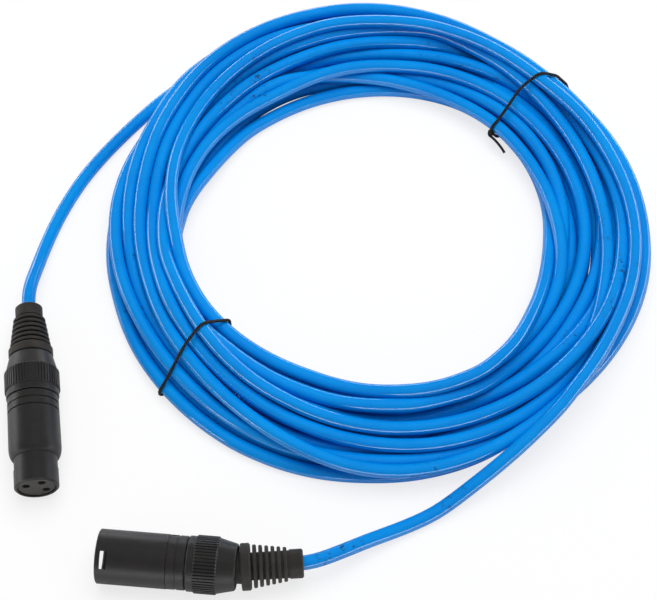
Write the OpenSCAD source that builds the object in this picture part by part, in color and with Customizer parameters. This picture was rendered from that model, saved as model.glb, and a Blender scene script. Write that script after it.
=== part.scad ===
// Coiled microphone cable with a female and a male three-pole connector.
// The origin is on the surface it lies on, under the middle of its outline.

/* [Cable] */
// Outer diameter of the cable jacket
cable_d = 5.8; // [5:0.1:6.2]
// Diameter of one insulated conductor
conductor_d = 1.6; // [1.2:0.1:1.8]
// Diameter of the twisted screen wire
screen_d = 1.2; // [0.8:0.1:1.6]
// Diameter of the bare wire in a solder cup
wire_d = 0.9; // [0.5:0.1:1.2]

/* [Coil] */
// Ring steps along the winding, 24 to one turn
coil_steps = 418; // [394:24:418]
// Layers of the pile
coil_layers = 4; // [2:2:4]
// Centre line radius of the innermost loops
coil_inner_r = 73.2; // [65:0.1:74]
// Centre line radius of the outermost loops
coil_outer_r = 103.6; // [102.5:0.1:110]
// Height of one layer of loops
layer_rise = 5.6; // [5.5:0.1:6.5]
// Direction in which the winding starts
coil_start = 105; // [105:15:105]

/* [Ties] */
// Diameter of the tie cord
tie_d = 1.2; // [0.8:0.1:1.6]
// Gap between a tie and the loops
tie_gap = 0.3; // [0.2:0.05:0.6]
// Corner radius of a tie
tie_corner_r = 2.5; // [1.5:0.1:3]
// Direction of the upper tie
tie_upper_angle = 44.5; // [40:0.5:50]
// Direction of the lower tie
tie_lower_angle = 220.5; // [215:0.5:225]

/* [Shell neck, collar and bend relief of both connectors] */
// Outer diameter of the threaded neck
neck_d = 16.4; // [15.6:0.1:17]
// Inner diameter of the neck
neck_bore_d = 13.8; // [13:0.1:14.4]
// Length of the neck
neck_l = 9; // [7:0.5:9.5]
// Radial clearance of pieces that fit in each other
fit_gap = 0.1; // [0.05:0.01:0.2]
// Gap between pieces that lie end to end
end_gap = 0.3; // [0.2:0.05:0.5]
// Diameter of the smooth band in front of the knurl
band_d = 19.3; // [18.8:0.1:19.8]
// Length of the smooth band
band_l = 2.9; // [2:0.1:4]
// Diameter over the knurl
knurl_d = 20.2; // [20:0.1:21.4]
// Length of the knurl
knurl_l = 8.1; // [6:0.1:10]
// Depth of the knurl's flutes
knurl_depth = 0.35; // [0.2:0.05:0.5]
// Number of flutes round the knurl
knurl_n = 54; // [30:2:60]
// Width of one flute
flute_w = 0.5; // [0.4:0.05:0.6]
// Diameter of the collar's rear edge
cone_end_d = 16.3; // [15.6:0.1:17.5]
// Length of the collar's rear cone
cone_l = 6.3; // [5:0.1:8]
// Diameter of the bend relief's snap flange
flange_d = 12.6; // [12.2:0.1:13]
// Diameter of the bend relief's neck inside the collar
relief_neck_d = 11.2; // [10.6:0.1:11.6]
// Radial clearance of the cable in the bend relief
relief_gap = 0.5; // [0.4:0.05:0.7]
// Diameter of the bend relief's wide ring
ring_d = 16.4; // [16.4:0.1:17]
// Length of the wide ring
ring_l = 3.4; // [2.5:0.1:4.5]
// Diameter of the first rib
rib_first_d = 15; // [14:0.1:15.6]
// Diameter of the last rib
rib_last_d = 12; // [11:0.1:13]
// Diameter between the ribs
rib_core_d = 9.6; // [9:0.1:10.4]
// Number of ribs
rib_n = 6; // [4:1:7]
// Pitch of the ribs
rib_pitch = 2.1; // [1.9:0.05:2.4]
// Thickness of one rib
rib_l = 1.3; // [1:0.05:1.5]
// Diameter of the end band
end_band_d = 10.2; // [9.4:0.1:11]
// Length of the end band
end_band_l = 4.8; // [3:0.1:6]
// Length of the chuck in front of its flange
chuck_l = 7; // [5:0.1:7.5]
// Diameter of the chuck's flange
chuck_flange_d = 15.2; // [14.6:0.1:15.6]
// Length of the chuck's flange
chuck_flange_l = 1.8; // [1.2:0.1:2]
// Length of the chuck's rear cone
chuck_cone_l = 2.8; // [2:0.1:2.9]
// Width of the slots in the chuck
chuck_slot_w = 0.8; // [0.5:0.1:1.2]

/* [Contacts] */
// Radius of the circle that the contacts stand on
contact_circle_r = 3.96; // [3.96:0.01:3.96]
// Diameter of a contact pin
pin_d = 2.4; // [2.4:0.01:2.4]
// Diameter of the pin's seat in the insert
pin_seat_d = 2.9; // [2.9:0.05:3.1]
// Diameter of the bore in a socket contact
socket_bore_d = 2.46; // [2.43:0.01:2.5]
// Outer diameter of a socket contact
socket_d = 3.2; // [3:0.1:3.4]
// Diameter of a solder cup
cup_d = 2.8; // [2.6:0.1:3]
// Bore of a solder cup
cup_bore_d = 1.9; // [1.6:0.1:2]
// Depth of a solder cup
cup_depth = 4; // [3:0.1:4.5]

/* [Female connector] */
// Diameter of the body beside the collar
f_body_rear_d = 18.7; // [18.5:0.1:19.4]
// Diameter of the body beside the shoulder
f_body_d = 19; // [18.6:0.1:19.6]
// Length of the body from collar to shoulder
f_body_l = 19.8; // [19:0.1:20]
// Length of the rounded shoulder
f_shoulder_l = 4.4; // [3.8:0.1:4.8]
// Diameter of the nose that enters a male shroud
f_nose_d = 16; // [15.9:0.05:16.1]
// Length of the nose
f_nose_l = 11.5; // [11.4:0.1:12]
// Depth of the step behind the nose's guiding land
f_relief = 0.2; // [0.2:0.05:0.4]
// Inner diameter of the body
f_body_bore_d = 15; // [14.6:0.1:15.4]
// Inner diameter of the nose
f_nose_bore_d = 13.6; // [13.4:0.1:13.8]
// Distance of the first groove from the collar
f_groove_1 = 3.1; // [2.8:0.1:3.6]
// Distance of the second groove from the collar
f_groove_2 = 6.1; // [5.6:0.1:8]
// Depth of a groove
f_groove_depth = 0.35; // [0.2:0.05:0.5]
// Width of a groove
f_groove_w = 0.6; // [0.4:0.1:0.8]
// Depth of the insert's face behind the rim
f_face_depth = 0.5; // [0.3:0.1:1]
// Rear end of the insert's flange
f_insert_rear = 12; // [11.5:0.1:12.5]
// Length of the insert's flange
f_flange_l = 2.4; // [2:0.1:3]
// Diameter of the holes in the insert's face
f_hole_d = 2.8; // [2.6:0.1:3]
// Thickness of the insert's face over the sockets
f_face_t = 1.6; // [1.2:0.1:2]
// Height of the insert's flat under the latch
f_flat_y = 4.5; // [4.2:0.1:4.7]

/* [Latch] */
// Width of the lever
latch_w = 4.4; // [4:0.1:5]
// Side clearance of the lever and its button
latch_gap = 0.25; // [0.2:0.05:0.4]
// Thickness of the lever
lever_t = 1.8; // [1.6:0.1:2]
// Height of the lever's upper face over the axis
lever_top = 8.9; // [8.7:0.1:9]
// Distance of the pivot from the collar
pivot_z = 4.5; // [4.4:0.1:4.8]
// Height of the pivot over the axis
pivot_y = 7.5; // [7.4:0.1:7.6]
// Diameter of the pivot pin
pivot_d = 1.5; // [1.4:0.05:1.6]
// Radial clearance of the lever on its pivot pin
pivot_gap = 0.05; // [0.02:0.01:0.08]
// Length of the pivot pin
pivot_l = 7.6; // [7:0.1:7.8]
// Distance of the button from the collar
button_z = 9; // [8.6:0.1:9.5]
// Length of the button
button_l = 10.2; // [8:0.1:10.4]
// Width of the button
button_w = 7; // [6:0.1:8]
// Height of the button's crown over the axis
button_r = 10.2; // [9.9:0.1:10.3]
// Distance of the hook from the shoulder
hook_gap = 1.7; // [1.4:0.1:2]
// Length of the hook
hook_l = 2; // [1.6:0.1:2.2]
// Height of the hook over the nose
hook_h = 0.85; // [0.6:0.05:1]
// Thickness of the leaf spring
leaf_t = 0.25; // [0.2:0.05:0.3]
// Width of the leaf spring
leaf_w = 3.2; // [2.8:0.1:3.6]

/* [Male connector] */
// Outer diameter of the shroud
m_shell_d = 19; // [18.8:0.1:19.6]
// Inner diameter of the shroud
m_bore_d = 16.5; // [16.4:0.05:16.7]
// Length of the shroud from collar to rim
m_shell_l = 31; // [30.5:0.1:32]
// Distance of the pin tips behind the rim
m_tip_depth = 5.5; // [5:0.1:6]
// Length of the pins in front of the insert
m_pin_out = 10.5; // [9:0.1:11]
// Thickness of the insert
m_insert_t = 6; // [5:0.1:7]
// Distance of the insert's rear rim from the rear edge of the notches
m_skirt_in = 0.8; // [0.4:0.1:1.5]
// Distance of the latch window behind the rim
m_window_z = 1.6; // [1.4:0.1:1.8]
// Length of the latch window
m_window_l = 2.5; // [2.3:0.1:2.8]
// Width of the latch window
m_window_w = 6.4; // [5:0.1:7]
// Distance of the rear notches from the collar
m_notch_z = 2.2; // [1.8:0.1:2.6]
// Length of a rear notch
m_notch_l = 4; // [3:0.1:4.5]
// Width of a rear notch
m_notch_w = 4; // [3:0.1:5]
// Depth of a notch's lug below the shell's surface
m_lug_depth = 0.45; // [0.3:0.05:0.6]
// Distance of the rear ring line from the collar
m_line_z = 3.3; // [2.8:0.1:3.6]
// Distance of the step to the shroud from the collar
m_step_z = 6.7; // [6.4:0.1:8]
// Angle between the bend relief and the shell
m_tilt = 8.8; // [6:0.1:9]

/* [Hidden] */
$fn = 48;
black = "#2b2b2e";
rubber = "#232325";
metal = "#c9c2b0";
blue = "#1f8fd8";

// Places: the connectors lie on their collars, which are their widest pieces.
cable_r = cable_d / 2;
axis_z = knurl_d / 2;
female_at = [-110.3, -53.4, axis_z];
female_yaw = 7.5;
female_roll = 145.5;
male_at = [-50.9, -116.9, axis_z];
male_yaw = -5;
male_roll = -120;
contact_angles = [270, 173, 7];

// Levels along a connector: zero is the collar's front edge, plus is the mating end.
collar_l = band_l + knurl_l + cone_l;
cone_z = -band_l - knurl_l;
rib_gap_l = rib_pitch - rib_l;
relief_l = ring_l + rib_gap_l + rib_n * rib_pitch + end_band_l;
chuck_flange_z = -neck_l - end_gap;
chuck_rear_z = chuck_flange_z - chuck_flange_l - chuck_cone_l;
flange_t = 0.7;
relief_neck_z = chuck_rear_z - end_gap;
jacket_z = chuck_flange_z + chuck_l - 1;
f_cup_z = 6.8;
m_cup_z = 2.8;
hook_z = f_body_l + f_shoulder_l + hook_gap;
m_setback = ring_d / 2 * sin(m_tilt) + 0.15;
bend_room = 1;

// Routes of the free ends: round numbers, laid beside a coil whose outermost loops
// have the route radius. For a wider coil they move out with it, most where they join it.
straight_l = 5;
route_coil_r = 103.6;
female_route = [[-116.2, -4, 9], [-115.9, 3, 6.6], [-115.2, 10, 4.5], [-113.9, 17.5, 3.2],
    [-111.8, 25, 2.9], [-109, 33, 2.9], [-103, 46.5, 2.9], [-97, 57.5, 2.9],
    [-89.5, 68.8, 2.9], [-81, 79.7, 2.9], [-71.5, 90.5, 2.9], [-60, 100.8, 2.9],
    [-47, 108.8, 2.9], [-32, 115.2, 2.9]];
male_route = [[-1, -114.9, 9], [5.5, -111.6, 6.8], [12.5, -107.5, 4.7], [20.5, -103, 3.4],
    [29.5, -98.6, 2.9], [38.5, -93.7, 3.6], [46, -89, 5.6], [53, -84, 8.8],
    [59.5, -79, 12.6], [66.5, -73.2, 15.8], [75.5, -65, 18]];

// The coil: its loops lie between an inner and an outer circle with unlike centres.
inner_centre = [14, 20.2];
outer_centre = [15.9, 21.7];
rings_per_turn = 24;
step_angle = 360 / rings_per_turn;
layer_steps = coil_steps / coil_layers;
climb_steps = rings_per_turn / 2;
flat_cut = cable_d / 10;
coil_base_z = cable_r * cos(30) - flat_cut;
tie_lift = tie_d + tie_gap + flat_cut;
lift_flat = 14;
lift_ramp = 14;

function unit(v) = v / norm(v);
function clamp(v, low, high) = max(low, min(high, v));
function apart(a, b) = abs(((a - b) % 360 + 540) % 360 - 180);
function ring_angle(i) = coil_start - step_angle * i;
// Share of the way from the inner to the outer circle after i ring steps.
function spread(i) = abs(1 - (i / layer_steps) % 2);
function climbed(i) = [for (k = [1:coil_layers - 1])
    clamp((i - k * layer_steps) / climb_steps + 0.5, 0, 1)];
function total(v, k = 0) = k < len(v) ? v[k] + total(v, k + 1) : 0;
function lift_at(a, tie) = clamp((lift_flat + lift_ramp - apart(a, tie)) / lift_ramp, 0, 1);
function lift(a) = tie_lift * max(lift_at(a, tie_upper_angle), lift_at(a, tie_lower_angle));
function on_circle(c, r, a) = c + r * [cos(a), sin(a)];
function bundle(a, s) = (1 - s) * on_circle(inner_centre, coil_inner_r, a)
    + s * on_circle(outer_centre, coil_outer_r, a);
function coil_height(i) = coil_base_z + layer_rise * total(climbed(i)) + lift(ring_angle(i));
function coil_point(i) = let (p = bundle(ring_angle(i), spread(i))) [p[0], p[1], coil_height(i)];
// Outward direction in plan of the ring after i steps.
function outward(i) = [cos(ring_angle(i)), sin(ring_angle(i)), 0];
function along(i) = [sin(ring_angle(i)), -cos(ring_angle(i)), 0];
coil_first = coil_point(0);
coil_last = coil_point(coil_steps);
coil_centres = concat([coil_first - cable_d * along(0)],
    [for (i = [0:coil_steps]) coil_point(i)], [coil_last + cable_d * along(coil_steps)]);
coil_outwards = concat([outward(0)], [for (i = [0:coil_steps]) outward(i)],
    [outward(coil_steps)]);

// A ring of n corners round a centre, none of them below the surface it lies on.
function ring(c, side, up, r, n) = [for (k = [0:n - 1])
    let (p = c + r * (cos(360 * k / n) * side + sin(360 * k / n) * up)) [p[0], p[1], max(0, p[2])]];
function wall_faces(rings, n) = [for (j = [0:rings - 2]) for (k = [0:n - 1])
    let (a = j * n + k, b = j * n + (k + 1) % n) each [[a, b + n, b], [a, a + n, b + n]]];
function cap_faces(first, n, flip) = [for (k = [1:n - 2])
    flip ? [first, first + k + 1, first + k] : [first, first + k, first + k + 1]];

// Least gap of the tube to itself, measured in twelve directions of the rings' planes.
function gap_between(i, j) = let (d = coil_point(j) - coil_point(i),
    flat = norm([d[0], d[1]]), high = abs(d[2]))
    max([for (a = [0:30:90]) flat * cos(a) + high * sin(a)
        - 2 * cable_r * (a % 60 == 0 ? 1 : cos(30))]);
least_gap = min([for (i = [0:coil_steps - rings_per_turn])
    for (j = [i + rings_per_turn:rings_per_turn:coil_steps]) gap_between(i, j)]);
echo(least_gap_of_the_coil_to_itself = least_gap);
coil_length = total([for (i = [1:len(coil_centres) - 1])
    norm(coil_centres[i] - coil_centres[i - 1])]);
echo(length_of_the_coil = coil_length);

// A route moved out with the coil: its far end goes all the way, its first point stays.
function carried(route) = [for (i = [0:len(route) - 1])
    let (p = route[i], back = 1 - i / (len(route) - 1), share = 1 - back * back,
        away = unit([p[0] - outer_centre[0], p[1] - outer_centre[1]]))
            p + (coil_outer_r - route_coil_r) * share * [away[0], away[1], 0]];

// Ways into and out of the connectors.
function turned(a, v) = [v[0] * cos(a) - v[1] * sin(a), v[0] * sin(a) + v[1] * cos(a), v[2]];
female_back = turned(female_yaw, [0, 1, 0]);
male_back = turned(male_yaw, [1, 0, 0]);
male_boot_dir = turned(male_yaw + m_tilt, [1, 0, 0]);
male_hinge = male_at + collar_l * male_back;
female_relief_end = collar_l + end_gap + relief_l;
male_relief_end = m_setback + relief_l;
female_tail_points = concat(
    [for (z = [-jacket_z, 14, 26, female_relief_end, female_relief_end + straight_l])
        female_at + z * female_back],
    carried(female_route), [coil_first - cable_d * along(0)]);
male_tail_points = concat([male_at - jacket_z * male_back, male_hinge],
    [for (s = [11, male_relief_end, male_relief_end + straight_l - 1])
        male_hinge + s * male_boot_dir],
    carried(male_route), [coil_last + cable_d * along(coil_steps)]);

module place_female() {
    translate(female_at)
        rotate([0, 0, female_yaw])
            rotate([90, 0, 0])
                rotate([0, 0, female_roll])
                    children();
}

module place_male(roll = male_roll) {
    translate(male_at)
        rotate([0, 0, male_yaw])
            rotate([0, -90, 0])
                rotate([0, 0, roll])
                    children();
}

// Turns a profile of [radius, level] pairs round the connector's axis.
module turned_solid(profile) {
    rotate_extrude()
        polygon(profile);
}

// A straight round rod from one point to another.
module rod(a, b, d) {
    v = b - a;
    translate(a)
        rotate([0, acos(v[2] / norm(v)), atan2(v[1], v[0])])
            cylinder(d = d, h = norm(v));
}

module cable_coil() {
    n = 6;
    count = len(coil_centres);
    points = [for (i = [0:count - 1])
        each ring(coil_centres[i], coil_outwards[i], [0, 0, 1], cable_r, n)];
    color(blue)
        polyhedron(points, concat(cap_faces(0, n, false), wall_faces(count, n),
            cap_faces((count - 1) * n, n, true)));
}

// A cable along the given points, whose two end faces are square to end directions.
module cable_tail(path, start_dir, end_dir) {
    n = 10;
    count = len(path);
    dirs = [for (i = [0:count - 1]) i == 0 ? start_dir
        : i == count - 1 ? end_dir
        : unit(unit(path[i + 1] - path[i]) + unit(path[i] - path[i - 1]))];
    points = [for (i = [0:count - 1])
        let (side = unit(cross([0, 0, 1], dirs[i])), up = cross(dirs[i], side))
            each ring(path[i], side, up, cable_r, n)];
    color(blue)
        polyhedron(points, concat(cap_faces(0, n, false), wall_faces(count, n),
            cap_faces((count - 1) * n, n, true)));
}

module cable_tail_female() {
    cable_tail(female_tail_points, female_back, along(0));
}

module cable_tail_male() {
    cable_tail(male_tail_points, male_back, -along(coil_steps));
}

// A closed loop of cord round the bundle, in the upright plane across the loops.
module tie(a) {
    inner = bundle(a, 0);
    outer = bundle(a, 1);
    margin = cable_r + tie_gap + tie_d / 2;
    length = norm(outer - inner) + 2 * margin;
    low = tie_d / 2;
    high = coil_base_z + (coil_layers - 1) * layer_rise + tie_lift + margin - cable_r * (1 - cos(30));
    heading = atan2(outer[1] - inner[1], outer[0] - inner[0]);
    c = tie_corner_r;
    color(black)
        translate([inner[0], inner[1], 0])
            rotate([90, 0, heading])
                translate([-margin, low, 0])
                    union() {
                        for (y = [0, high - low])
                            translate([c, y, 0])
                                rotate([0, 90, 0])
                                    cylinder(d = tie_d, h = length - 2 * c);
                        for (x = [0, length])
                            translate([x, c, 0])
                                rotate([-90, 0, 0])
                                    cylinder(d = tie_d, h = high - low - 2 * c);
                        for (k = [0:3])
                            translate([k == 0 || k == 3 ? length - c : c,
                                       k < 2 ? high - low - c : c, 0])
                                rotate([0, 0, 90 * k])
                                    rotate_extrude(angle = 90)
                                        translate([c, 0])
                                            circle(d = tie_d);
                    }
}

module tie_upper() {
    tie(tie_upper_angle);
}

module tie_lower() {
    tie(tie_lower_angle);
}

// The fluted coupling collar, bored for the neck, the chuck and the bend relief.
module collar() {
    kr = knurl_d / 2;
    chamfer = 0.5;
    neck_hole_r = neck_d / 2 + fit_gap;
    seat_r = chuck_flange_d / 2 + end_gap;
    lip_r = relief_neck_d / 2 + 2 * fit_gap;
    groove_r = flange_d / 2 + 3 * fit_gap;
    seat_z = chuck_flange_z - chuck_flange_l;
    lip_z = relief_neck_z - flange_t - end_gap;
    color(black)
        difference() {
            turned_solid([[neck_hole_r, -end_gap], [band_d / 2 - 0.3, -end_gap],
                [band_d / 2, -end_gap - 0.3], [band_d / 2, -band_l], [kr - 0.3, -band_l],
                [kr, -band_l - 0.3], [kr, cone_z + chamfer], [kr - chamfer, cone_z],
                [cone_end_d / 2, -collar_l + 0.4], [cone_end_d / 2 - 0.4, -collar_l],
                [lip_r, -collar_l], [lip_r, lip_z], [groove_r, lip_z],
                [groove_r, chuck_rear_z], [seat_r, seat_z], [seat_r, chuck_flange_z],
                [neck_hole_r, chuck_flange_z]]);
            for (k = [0:knurl_n - 1])
                rotate([0, 0, 360 * k / knurl_n])
                    translate([-flute_w / 2, kr - knurl_depth, cone_z - 1])
                        cube([flute_w, 1, knurl_l + 2]);
        }
}

// The part of the bend relief that sits in the collar.
module relief_neck(length) {
    turned_solid([[0, relief_neck_z], [flange_d / 2 - 0.3, relief_neck_z],
        [flange_d / 2, relief_neck_z - 0.3], [flange_d / 2, relief_neck_z - flange_t],
        [relief_neck_d / 2, relief_neck_z - flange_t], [relief_neck_d / 2, -length], [0, -length]]);
}

// The part of the bend relief behind the collar, from level zero towards the cable.
module relief_body() {
    core = rib_core_d / 2;
    ribs_z = -ring_l - rib_gap_l;
    end_z = ribs_z - rib_n * rib_pitch;
    union() {
        turned_solid([[0, 0], [ring_d / 2 - 0.3, 0], [ring_d / 2, -0.3],
            [ring_d / 2, -ring_l + 0.5], [ring_d / 2 - 0.5, -ring_l], [core, -ring_l],
            [core, end_z], [end_band_d / 2, end_z], [end_band_d / 2, end_z - end_band_l + 0.5],
            [end_band_d / 2 - 0.5, end_z - end_band_l], [0, end_z - end_band_l]]);
        for (k = [0:rib_n - 1]) {
            r = (rib_first_d + (rib_last_d - rib_first_d) * k / (rib_n - 1)) / 2;
            translate([0, 0, ribs_z - k * rib_pitch - rib_l])
                turned_solid([[0, 0], [r - 0.35, 0], [r, 0.3], [r, rib_l - 0.2],
                    [r - 0.2, rib_l], [0, rib_l]]);
        }
    }
}

// A slotted clamp that grips the cable, with a flange behind the neck.
module chuck() {
    sleeve_r = neck_bore_d / 2 - fit_gap;
    front_z = chuck_flange_z + chuck_l;
    flange_r = chuck_flange_d / 2;
    color("#3a3a3c")
        difference() {
            turned_solid([[cable_r + fit_gap, front_z], [sleeve_r - 0.4, front_z],
                [sleeve_r, front_z - 0.4], [sleeve_r, chuck_flange_z],
                [flange_r, chuck_flange_z], [flange_r, chuck_flange_z - chuck_flange_l],
                [flange_d / 2 - 0.2, chuck_rear_z], [cable_r + fit_gap, chuck_rear_z]]);
            for (a = [0, 90])
                rotate([0, 0, a])
                    translate([-flange_r - 1, -chuck_slot_w / 2, chuck_rear_z - 1])
                        cube([2 * flange_r + 2, chuck_slot_w, chuck_l + chuck_cone_l]);
        }
}

// Two insulated conductors and the screen, from the jacket's end to the solder cups.
module cores(cup_z) {
    spread_r = cable_r * 0.45;
    bare_z = cup_z - end_gap;
    for (k = [0:2]) {
        a = contact_angles[k];
        d = k == 0 ? screen_d : conductor_d;
        top = [contact_circle_r * cos(a), contact_circle_r * sin(a), bare_z];
        color(["#b7b1a6", "#b8352c", "#d8d6d0"][k])
            union() {
                rod([spread_r * cos(a), spread_r * sin(a), jacket_z + 0.5], top, d);
                translate([top[0], top[1], bare_z - 0.4])
                    cylinder(d = wire_d, h = cup_depth);
            }
    }
}

// Shell of the female connector: neck, body with two grooves, shoulder and nose.
module female_shell() {
    body_r = f_body_d / 2;
    nose_r = f_nose_d / 2;
    bore_r = f_body_bore_d / 2;
    nose_z = f_body_l + f_shoulder_l;
    face_z = nose_z + f_nose_l;
    land_z = hook_z + hook_l + 0.8;
    shelf_z = f_insert_rear + f_flange_l + fit_gap;
    shoulder = [for (a = [0:15:90]) [nose_r - f_relief + (body_r - nose_r + f_relief) * cos(a),
        f_body_l + f_shoulder_l * sin(a)]];
    slot_w = latch_w + 2 * latch_gap;
    color(black)
        place_female()
            difference() {
                turned_solid(concat([[neck_bore_d / 2, -neck_l], [neck_d / 2 - 0.4, -neck_l],
                    [neck_d / 2, -neck_l + 0.4], [neck_d / 2, 0], [f_body_rear_d / 2 - 0.3, 0],
                    [f_body_rear_d / 2, 0.3]], shoulder,
                    [[nose_r - f_relief, land_z], [nose_r, land_z], [nose_r, face_z - 0.6],
                    [nose_r - 0.6, face_z], [f_nose_bore_d / 2 + 0.2, face_z],
                    [f_nose_bore_d / 2, face_z - 0.2], [f_nose_bore_d / 2, shelf_z],
                    [bore_r, shelf_z], [bore_r, 0], [neck_bore_d / 2, 0]]));
                for (z = [f_groove_1, f_groove_2])
                    turned_solid([[body_r + 1, z - f_groove_w / 2],
                        [f_body_rear_d / 2 - f_groove_depth, z - f_groove_w / 2],
                        [f_body_rear_d / 2 - f_groove_depth, z + f_groove_w / 2],
                        [body_r + 1, z + f_groove_w / 2]]);
                translate([-slot_w / 2, 0, pivot_z - 2])
                    cube([slot_w, body_r + 1, hook_z + hook_l + latch_gap - pivot_z + 2]);
                translate([-button_w / 2 - latch_gap, 0, button_z - latch_gap])
                    cube([button_w + 2 * latch_gap, body_r + 1, button_l + 3 * latch_gap]);
                translate([-pivot_l / 2 - fit_gap, pivot_y, pivot_z])
                    rotate([0, 90, 0])
                        cylinder(d = pivot_d + 0.04, h = pivot_l + 2 * fit_gap);
            }
}

// Insulating insert with a hole for each contact and a flat under the latch.
module female_insert() {
    face_z = f_body_l + f_shoulder_l + f_nose_l - f_face_depth;
    flange_z = f_insert_rear + f_flange_l;
    r = f_nose_bore_d / 2 - fit_gap;
    flange_r = f_body_bore_d / 2 - 1.5 * fit_gap;
    flat_end = hook_z + hook_l + 0.7;
    color("#1d1d1f")
        place_female()
            difference() {
                turned_solid([[0, f_insert_rear], [flange_r, f_insert_rear], [flange_r, flange_z],
                    [r, flange_z], [r, face_z - 0.3], [r - 0.3, face_z], [0, face_z]]);
                translate([-f_body_bore_d / 2, f_flat_y, f_insert_rear - 1])
                    cube([f_body_bore_d, f_body_bore_d / 2, flat_end - f_insert_rear + 1]);
                for (a = contact_angles)
                    rotate([0, 0, a])
                        translate([contact_circle_r, 0, 0]) {
                            translate([0, 0, f_insert_rear - 1])
                                cylinder(d = socket_d + fit_gap,
                                    h = face_z - f_face_t - f_insert_rear + 1);
                            translate([0, 0, face_z - f_face_t - 1])
                                cylinder(d = f_hole_d, h = f_face_t + 2);
                        }
            }
}

// Socket contact: split socket at the front, open solder cup at the rear.
module female_contact(k) {
    front_z = f_body_l + f_shoulder_l + f_nose_l - f_face_depth - f_face_t - 0.2;
    socket_depth = 13;
    body_z = f_insert_rear + 0.5;
    color(metal)
        place_female()
            rotate([0, 0, contact_angles[k]])
                translate([contact_circle_r, 0, 0])
                    difference() {
                        union() {
                            translate([0, 0, f_cup_z])
                                cylinder(d = cup_d, h = body_z - f_cup_z + 1);
                            translate([0, 0, body_z])
                                cylinder(d = socket_d, h = front_z - body_z);
                        }
                        translate([0, 0, front_z - socket_depth])
                            cylinder(d = socket_bore_d, h = socket_depth + 1);
                        translate([-socket_d, -0.2, front_z - 7])
                            cube([2 * socket_d, 0.4, 8]);
                        translate([0, 0, f_cup_z - 1])
                            cylinder(d = cup_bore_d, h = cup_depth + 1);
                        translate([0.2, -cup_d / 2 - 1, f_cup_z - 1])
                            cube([cup_d, cup_d + 2, cup_depth]);
                    }
}

module female_contact_1() {
    female_contact(0);
}

module female_contact_2() {
    female_contact(1);
}

module female_contact_3() {
    female_contact(2);
}

// Latch lever: hub at the rear, push button over the body, hook at the nose.
module female_latch() {
    hub_r = pivot_d / 2 + 0.75;
    arm_top = f_nose_d / 2 - 0.3;
    hook_top = f_nose_d / 2 + hook_h;
    step_z = f_body_l + 0.6;
    tip_z = hook_z + hook_l;
    color("#2f2f31")
        place_female()
            difference() {
                union() {
                    rotate([0, -90, 0])
                        linear_extrude(latch_w, center = true)
                            polygon([[pivot_z, lever_top - lever_t], [step_z - 1.6, lever_top - lever_t],
                                [step_z, arm_top - 1.5], [tip_z, arm_top - 1.5], [tip_z, arm_top],
                                [tip_z - 0.5, hook_top], [hook_z, hook_top], [hook_z, arm_top],
                                [step_z + 1.4, arm_top], [step_z, lever_top], [pivot_z, lever_top]]);
                    translate([-latch_w / 2, pivot_y, pivot_z])
                        rotate([0, 90, 0])
                            cylinder(r = hub_r, h = latch_w);
                    intersection() {
                        translate([0, 0, button_z])
                            cylinder(r1 = button_r - 0.5, r2 = button_r, h = button_l);
                        translate([-button_w / 2, lever_top - lever_t, button_z])
                            cube([button_w, button_r, button_l]);
                    }
                }
                translate([-latch_w, pivot_y, pivot_z])
                    rotate([0, 90, 0])
                        cylinder(d = pivot_d + 2 * pivot_gap, h = 2 * latch_w);
                for (z = [2:2:button_l - 2])
                    translate([-button_w, button_r - 0.35, button_z + z])
                        rotate([45, 0, 0])
                            cube([2 * button_w, 0.7, 0.7]);
            }
}

// Leaf spring that stands on the insert's flat and reaches under the lever.
module female_latch_spring() {
    foot_z = f_insert_rear + 1.2;
    tip_y = lever_top - lever_t - end_gap;
    y = f_flat_y + 0.05;
    color(metal)
        place_female()
            rotate([0, -90, 0])
                linear_extrude(leaf_w, center = true)
                    polygon([[foot_z, y], [foot_z + 6, y], [foot_z + 6, y + leaf_t],
                        [foot_z, y + leaf_t], [pivot_z + 3, tip_y], [pivot_z + 2.6, tip_y],
                        [pivot_z + 2.6, tip_y - leaf_t]]);
}

module female_latch_pin() {
    color(metal)
        place_female()
            translate([-pivot_l / 2, pivot_y, pivot_z])
                rotate([0, 90, 0])
                    cylinder(d = pivot_d, h = pivot_l);
}

module female_chuck() {
    place_female()
        chuck();
}

module female_collar() {
    place_female()
        collar();
}

module female_boot() {
    color(rubber)
        place_female()
            difference() {
                union() {
                    relief_neck(collar_l + end_gap + 1);
                    translate([0, 0, -collar_l - end_gap])
                        relief_body();
                }
                translate([0, 0, -female_relief_end - 1])
                    cylinder(r = cable_r + relief_gap, h = female_relief_end + 1);
            }
}

module female_cores() {
    place_female()
        cores(f_cup_z);
}

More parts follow.
